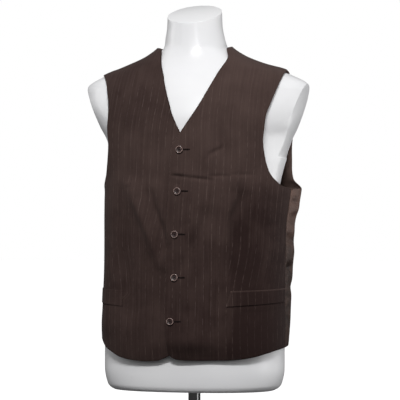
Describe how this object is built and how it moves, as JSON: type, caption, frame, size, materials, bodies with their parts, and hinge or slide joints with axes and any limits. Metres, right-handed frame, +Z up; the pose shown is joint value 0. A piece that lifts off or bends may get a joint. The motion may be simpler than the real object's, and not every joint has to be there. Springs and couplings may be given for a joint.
{
  "type": "waistcoat on a dress form",
  "caption": "Single-breasted V-neck waistcoat with pinstriped fronts, satin back and welt pockets, worn by a limbless torso form on a pole with a round base.",
  "frame": {"origin": "middle of the base's underside, on the surface it stands on", "axes": "+Z up, the wearer faces -Y, the wearer's left is +X"},
  "size_m": [0.4636, 0.3, 0.9723],
  "materials": {
    "worsted": "dark brown worsted with fine paler pinstripes, matt",
    "satin": "brown lining satin with a soft sheen",
    "horn": "dark brown sunken middle with a paler ring, half gloss",
    "gloss_white": "smooth white lacquer, glossy",
    "chrome": "polished",
    "brushed_steel": "brushed"
  },
  "bodies": {
    "root": {"front_left": "worsted", "front_right": "worsted", "welt_left": "worsted", "welt_right": "worsted", "back": "satin", "button_1": "horn", "button_2": "horn", "button_3": "horn", "button_4": "horn", "button_5": "horn", "form_torso": "gloss_white", "pole": "chrome", "base": "brushed_steel"}
  },
  "joints": []
}
